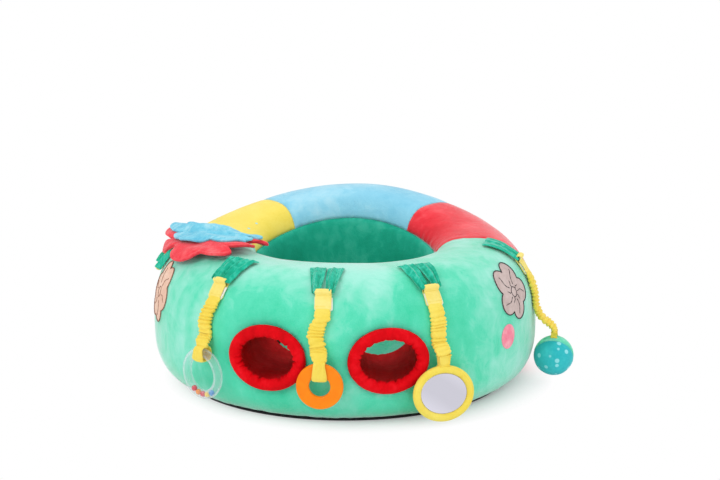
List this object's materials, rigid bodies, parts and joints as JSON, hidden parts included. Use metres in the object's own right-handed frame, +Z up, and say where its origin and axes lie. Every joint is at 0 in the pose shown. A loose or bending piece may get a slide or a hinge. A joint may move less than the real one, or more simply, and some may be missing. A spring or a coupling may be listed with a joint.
{
  "type": "inflatable baby floor seat",
  "caption": "Fabric-covered inflatable ring seat for a baby, with a raised back, leg openings in the front and toys hanging from fabric loops.",
  "frame": {"origin": "middle of the ring on the floor, at the underside of the base", "axes": "+Z up, -Y out through the front with the leg openings, +X towards the side where the ball hangs"},
  "size_m": [0.6045, 0.5707, 0.2349],
  "materials": {
    "mint_velour": "short mottled pile",
    "red_velour": "short pile",
    "blue_velour": "short pile",
    "yellow_print": "woven, small dots",
    "green_velour": "short pile",
    "pad_cloth": "padded pile",
    "base_cloth": "coated, non-slip",
    "filling": "matt",
    "vinyl": "glossy film",
    "valve_vinyl": "smooth",
    "zip_cloth": "woven tape",
    "zip_nylon": "moulded",
    "zip_metal": "satin",
    "yellow_tape": "woven",
    "hook_tape": "hook and loop",
    "gathered_elastic": "satin, gathered",
    "clear_plastic": "clear",
    "bead_plastic": "glossy",
    "orange_plastic": "smooth",
    "mirror_rim_cloth": "padded",
    "mirror_face": "mirrored",
    "ball_blue_cloth": "dotted print",
    "ball_green_cloth": "short pile",
    "capsule_plastic": "moulded",
    "leaf_red_cloth": "crinkled",
    "leaf_blue_cloth": "dotted, crinkled",
    "pink_cloth": "appliqué",
    "peach_cloth": "appliqué",
    "taupe_cloth": "appliqué"
  },
  "bodies": {
    "seat": {"cover_front": "mint_velour", "cover_back_red": "red_velour", "cover_back_blue": "blue_velour", "cover_back_yellow": "yellow_print", "well_wall_front": "green_velour", "well_wall_back": "green_velour", "base_panel": "base_cloth", "seat_pad": "pad_cloth", "back_bolster": "filling", "inflated_front": "vinyl", "inflated_back": "vinyl", "valve_body": "valve_vinyl", "leg_lining_left": "red_velour", "leg_lining_right": "red_velour", "leg_rim_left": "red_velour", "leg_rim_right": "red_velour", "zip_tape": "zip_cloth", "zip_teeth": "zip_nylon", "loop_leaf": "green_velour", "loop_rattle": "green_velour", "loop_teether": "green_velour", "loop_mirror": "green_velour", "loop_ball": "green_velour", "patch_dot": "pink_cloth", "patch_peach": "peach_cloth", "patch_taupe": "taupe_cloth"},
    "valve_plug": {"valve_plug": "valve_vinyl"},
    "zip_slider": {"zip_slider": "zip_metal"},
    "zip_pull": {"zip_pull": "zip_metal"},
    "rattle_on_loop": {"rattle_tab": "yellow_tape", "rattle_hook_tape": "hook_tape", "rattle_strap": "gathered_elastic"},
    "rattle_hanging": {"rattle_strap_end": "gathered_elastic"},
    "teether_on_loop": {"teether_tab": "yellow_tape", "teether_hook_tape": "hook_tape", "teether_strap": "gathered_elastic"},
    "teether_hanging": {"teether_strap_end": "gathered_elastic"},
    "mirror_on_loop": {"mirror_tab": "yellow_tape", "mirror_hook_tape": "hook_tape", "mirror_strap": "gathered_elastic"},
    "mirror_hanging": {"mirror_strap_end": "gathered_elastic", "mirror_rim": "mirror_rim_cloth", "mirror_sheet": "mirror_face", "mirror_backing": "mirror_rim_cloth"},
    "ball_on_loop": {"ball_tab": "yellow_tape", "ball_hook_tape": "hook_tape", "ball_strap": "gathered_elastic"},
    "ball_hanging": {"ball_strap_end": "gathered_elastic", "ball_half_blue": "ball_blue_cloth", "ball_half_green": "ball_green_cloth", "ball_capsule": "capsule_plastic"},
    "rattle_ring": {"rattle_ring": "clear_plastic"},
    "rattle_beads": {"rattle_beads": "bead_plastic"},
    "teether_ring": {"teether_ring": "orange_plastic"},
    "leaf_red": {"leaf_tab": "yellow_tape", "leaf_red": "leaf_red_cloth"},
    "leaf_blue": {"leaf_blue": "leaf_blue_cloth"}
  },
  "joints": [
    {"name": "valve_plug_pull", "type": "slide", "parent": "seat", "child": "valve_plug", "axis": [-0.2588, 0.9659, 0], "range_m": [0, 0.009]},
    {"name": "zip_travel", "type": "hinge", "parent": "seat", "child": "zip_slider", "pos_m": [0, 0, 0.032], "axis": [0, 0, 1], "range_deg": [-56, 0]},
    {"name": "zip_pull_swing", "type": "hinge", "parent": "zip_slider", "child": "zip_pull", "pos_m": [-0.12888, 0.24238, 0.03186], "axis": [0.8829, 0.4695, 0], "range_deg": [0, 120]},
    {"name": "rattle_swing", "type": "hinge", "parent": "seat", "child": "rattle_on_loop", "pos_m": [-0.148, -0.2037, 0.18089], "axis": [-0.809, 0.5878, 0], "range_deg": [0, 110]},
    {"name": "rattle_stretch", "type": "slide", "parent": "rattle_on_loop", "child": "rattle_hanging", "axis": [0, 0, -1], "range_m": [0, 0.02], "stiffness_N_per_m": 60, "springref_m": -0.01, "deforming": ["rattle_strap"]},
    {"name": "teether_swing", "type": "hinge", "parent": "seat", "child": "teether_on_loop", "pos_m": [-0.00659, -0.2517, 0.18089], "axis": [-0.9997, 0.0262, 0], "range_deg": [0, 110]},
    {"name": "teether_stretch", "type": "slide", "parent": "teether_on_loop", "child": "teether_hanging", "axis": [0, 0, -1], "range_m": [0, 0.02], "stiffness_N_per_m": 60, "springref_m": -0.01, "deforming": ["teether_strap"]},
    {"name": "mirror_swing", "type": "hinge", "parent": "seat", "child": "mirror_on_loop", "pos_m": [0.13156, -0.21468, 0.18089], "axis": [-0.8526, -0.5225, 0], "range_deg": [0, 110]},
    {"name": "mirror_stretch", "type": "slide", "parent": "mirror_on_loop", "child": "mirror_hanging", "axis": [0, 0, -1], "range_m": [0, 0.006], "stiffness_N_per_m": 60, "springref_m": -0.01, "deforming": ["mirror_strap"]},
    {"name": "ball_swing", "type": "hinge", "parent": "seat", "child": "ball_on_loop", "pos_m": [0.24934, -0.03504, 0.18089], "axis": [-0.1392, -0.9903, 0], "range_deg": [0, 170]},
    {"name": "ball_stretch", "type": "slide", "parent": "ball_on_loop", "child": "ball_hanging", "axis": [0, 0, -1], "range_m": [0, 0.01], "stiffness_N_per_m": 60, "springref_m": -0.01, "deforming": ["ball_strap"]},
    {"name": "rattle_turn", "type": "hinge", "parent": "rattle_hanging", "child": "rattle_ring", "pos_m": [-0.17046, -0.23461, 0.0616], "axis": [-0.5878, -0.809, 0], "continuous": true},
    {"name": "beads_roll", "type": "hinge", "parent": "rattle_ring", "child": "rattle_beads", "pos_m": [-0.17046, -0.23461, 0.0616], "axis": [-0.5878, -0.809, 0], "continuous": true},
    {"name": "teether_turn", "type": "hinge", "parent": "teether_hanging", "child": "teether_ring", "pos_m": [-0.00759, -0.2899, 0.0658], "axis": [-0.0262, -0.9997, 0], "continuous": true},
    {"name": "leaf_lift", "type": "hinge", "parent": "seat", "child": "leaf_red", "pos_m": [-0.2635, -0.03703, 0.15943], "axis": [0.1392, -0.9903, 0], "range_deg": [0, 100]},
    {"name": "leaf_open", "type": "hinge", "parent": "leaf_red", "child": "leaf_blue", "pos_m": [-0.25536, -0.03589, 0.18397], "axis": [0.1392, -0.9903, 0], "range_deg": [0, 60]}
  ]
}
